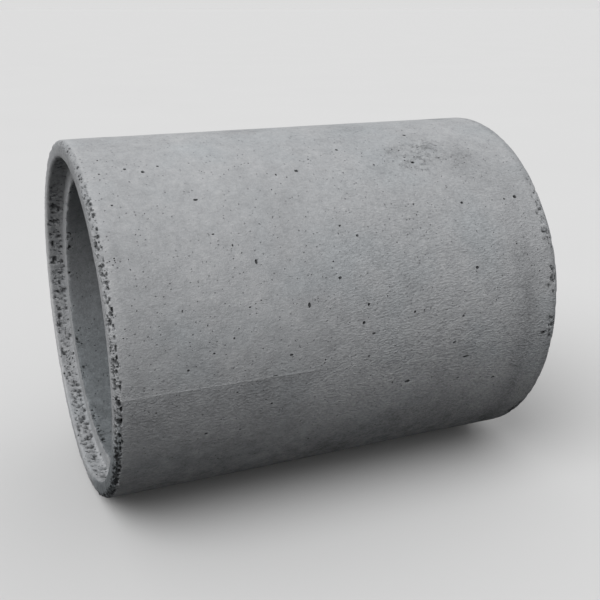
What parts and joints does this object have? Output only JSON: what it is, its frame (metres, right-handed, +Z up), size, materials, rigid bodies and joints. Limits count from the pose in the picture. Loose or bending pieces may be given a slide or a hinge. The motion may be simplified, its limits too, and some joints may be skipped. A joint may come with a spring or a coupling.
{
  "type": "concrete sewer pipe",
  "caption": "Short cast concrete drain pipe lying on its side, with a rebated end, a plain round barrel and a matching tongue end.",
  "frame": {"origin": "on the floor line under the barrel, halfway along the pipe's whole length", "axes": "+X along the pipe's axis from the rebated end to the tongue end, +Z up, +Y across"},
  "size_m": [1, 0.7598, 0.76],
  "materials": {
    "concrete": "cast grey concrete, matt, with small air holes, rough chipped rims, a mould seam and darker damp patches"
  },
  "bodies": {
    "root": {"pipe": "concrete"}
  },
  "joints": []
}
